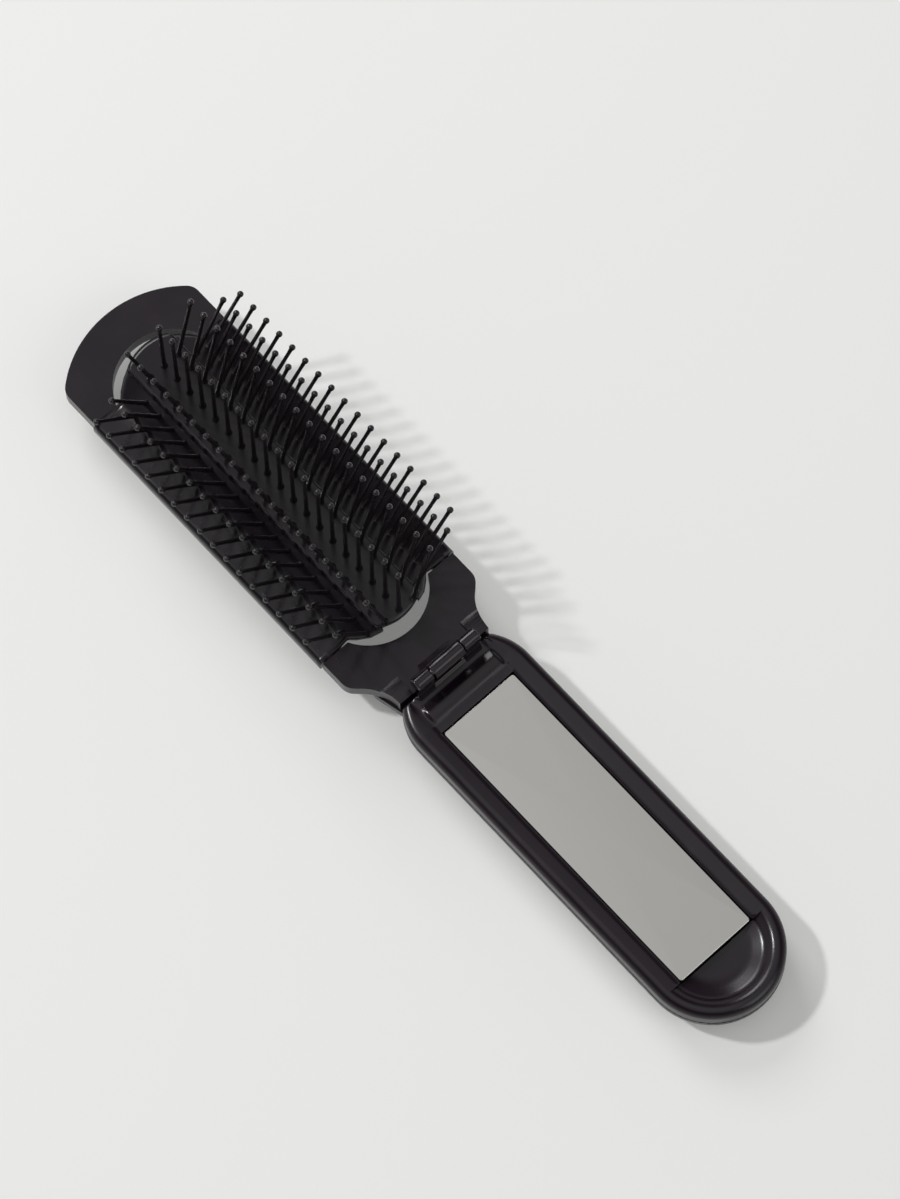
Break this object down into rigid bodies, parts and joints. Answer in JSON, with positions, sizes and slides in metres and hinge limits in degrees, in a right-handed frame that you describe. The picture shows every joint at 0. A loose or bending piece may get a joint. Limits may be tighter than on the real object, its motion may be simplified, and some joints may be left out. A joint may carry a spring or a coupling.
{
  "type": "folding hairbrush with mirror",
  "caption": "Pocket hairbrush whose handle, with a mirror set in its face, folds over the bristles while the bristle pad drops through the open frame.",
  "frame": {"origin": "centre of the open brush's bounding box, on the plane of the handle's flat back", "axes": "+X from the far end of the head to the free end of the handle, +Y across the brush, +Z the way the bristles and the mirror face"},
  "size_m": [0.2064, 0.0434, 0.0391],
  "materials": {
    "moulding": "satin",
    "pad": "satin",
    "pins": "gloss",
    "mirror": "polished",
    "tape": "matte",
    "steel": "satin"
  },
  "bodies": {
    "head": {"head_frame": "moulding", "hinge_pin": "steel"},
    "pad_left": {"left_leaf": "pad", "pin_row_1": "pins", "pin_row_2": "pins"},
    "pad_crest": {"crest_leaf": "pad", "pin_row_3": "pins", "pin_row_4": "pins", "pin_row_5": "pins"},
    "pad_right": {"right_leaf": "pad", "pin_row_6": "pins", "pin_row_7": "pins"},
    "handle": {"handle_front": "moulding", "handle_back": "moulding", "mirror_glass": "mirror", "mirror_pad": "tape"}
  },
  "joints": [
    {"name": "handle_fold", "type": "hinge", "parent": "head", "child": "handle", "pos_m": [0.00575, 0, 0.01625], "axis": [0, -1, 0], "range_deg": [0, 180]},
    {"name": "crest_drop", "type": "slide", "parent": "head", "child": "pad_crest", "axis": [0, 0, -1], "range_m": [0, 0.0183]},
    {"name": "left_turn", "type": "hinge", "parent": "head", "child": "pad_left", "pos_m": [0, -0.0161, 0.00915], "axis": [-1, 0, 0], "range_deg": [0, 90]},
    {"name": "right_turn", "type": "hinge", "parent": "head", "child": "pad_right", "pos_m": [0, 0.0161, 0.00915], "axis": [1, 0, 0], "range_deg": [0, 90]}
  ],
  "couplings": [
    {"joint": "crest_drop", "follows": "handle_fold", "m_per_rad": 0.005825},
    {"joint": "left_turn", "follows": "handle_fold", "ratio": 0.5},
    {"joint": "right_turn", "follows": "handle_fold", "ratio": 0.5}
  ]
}
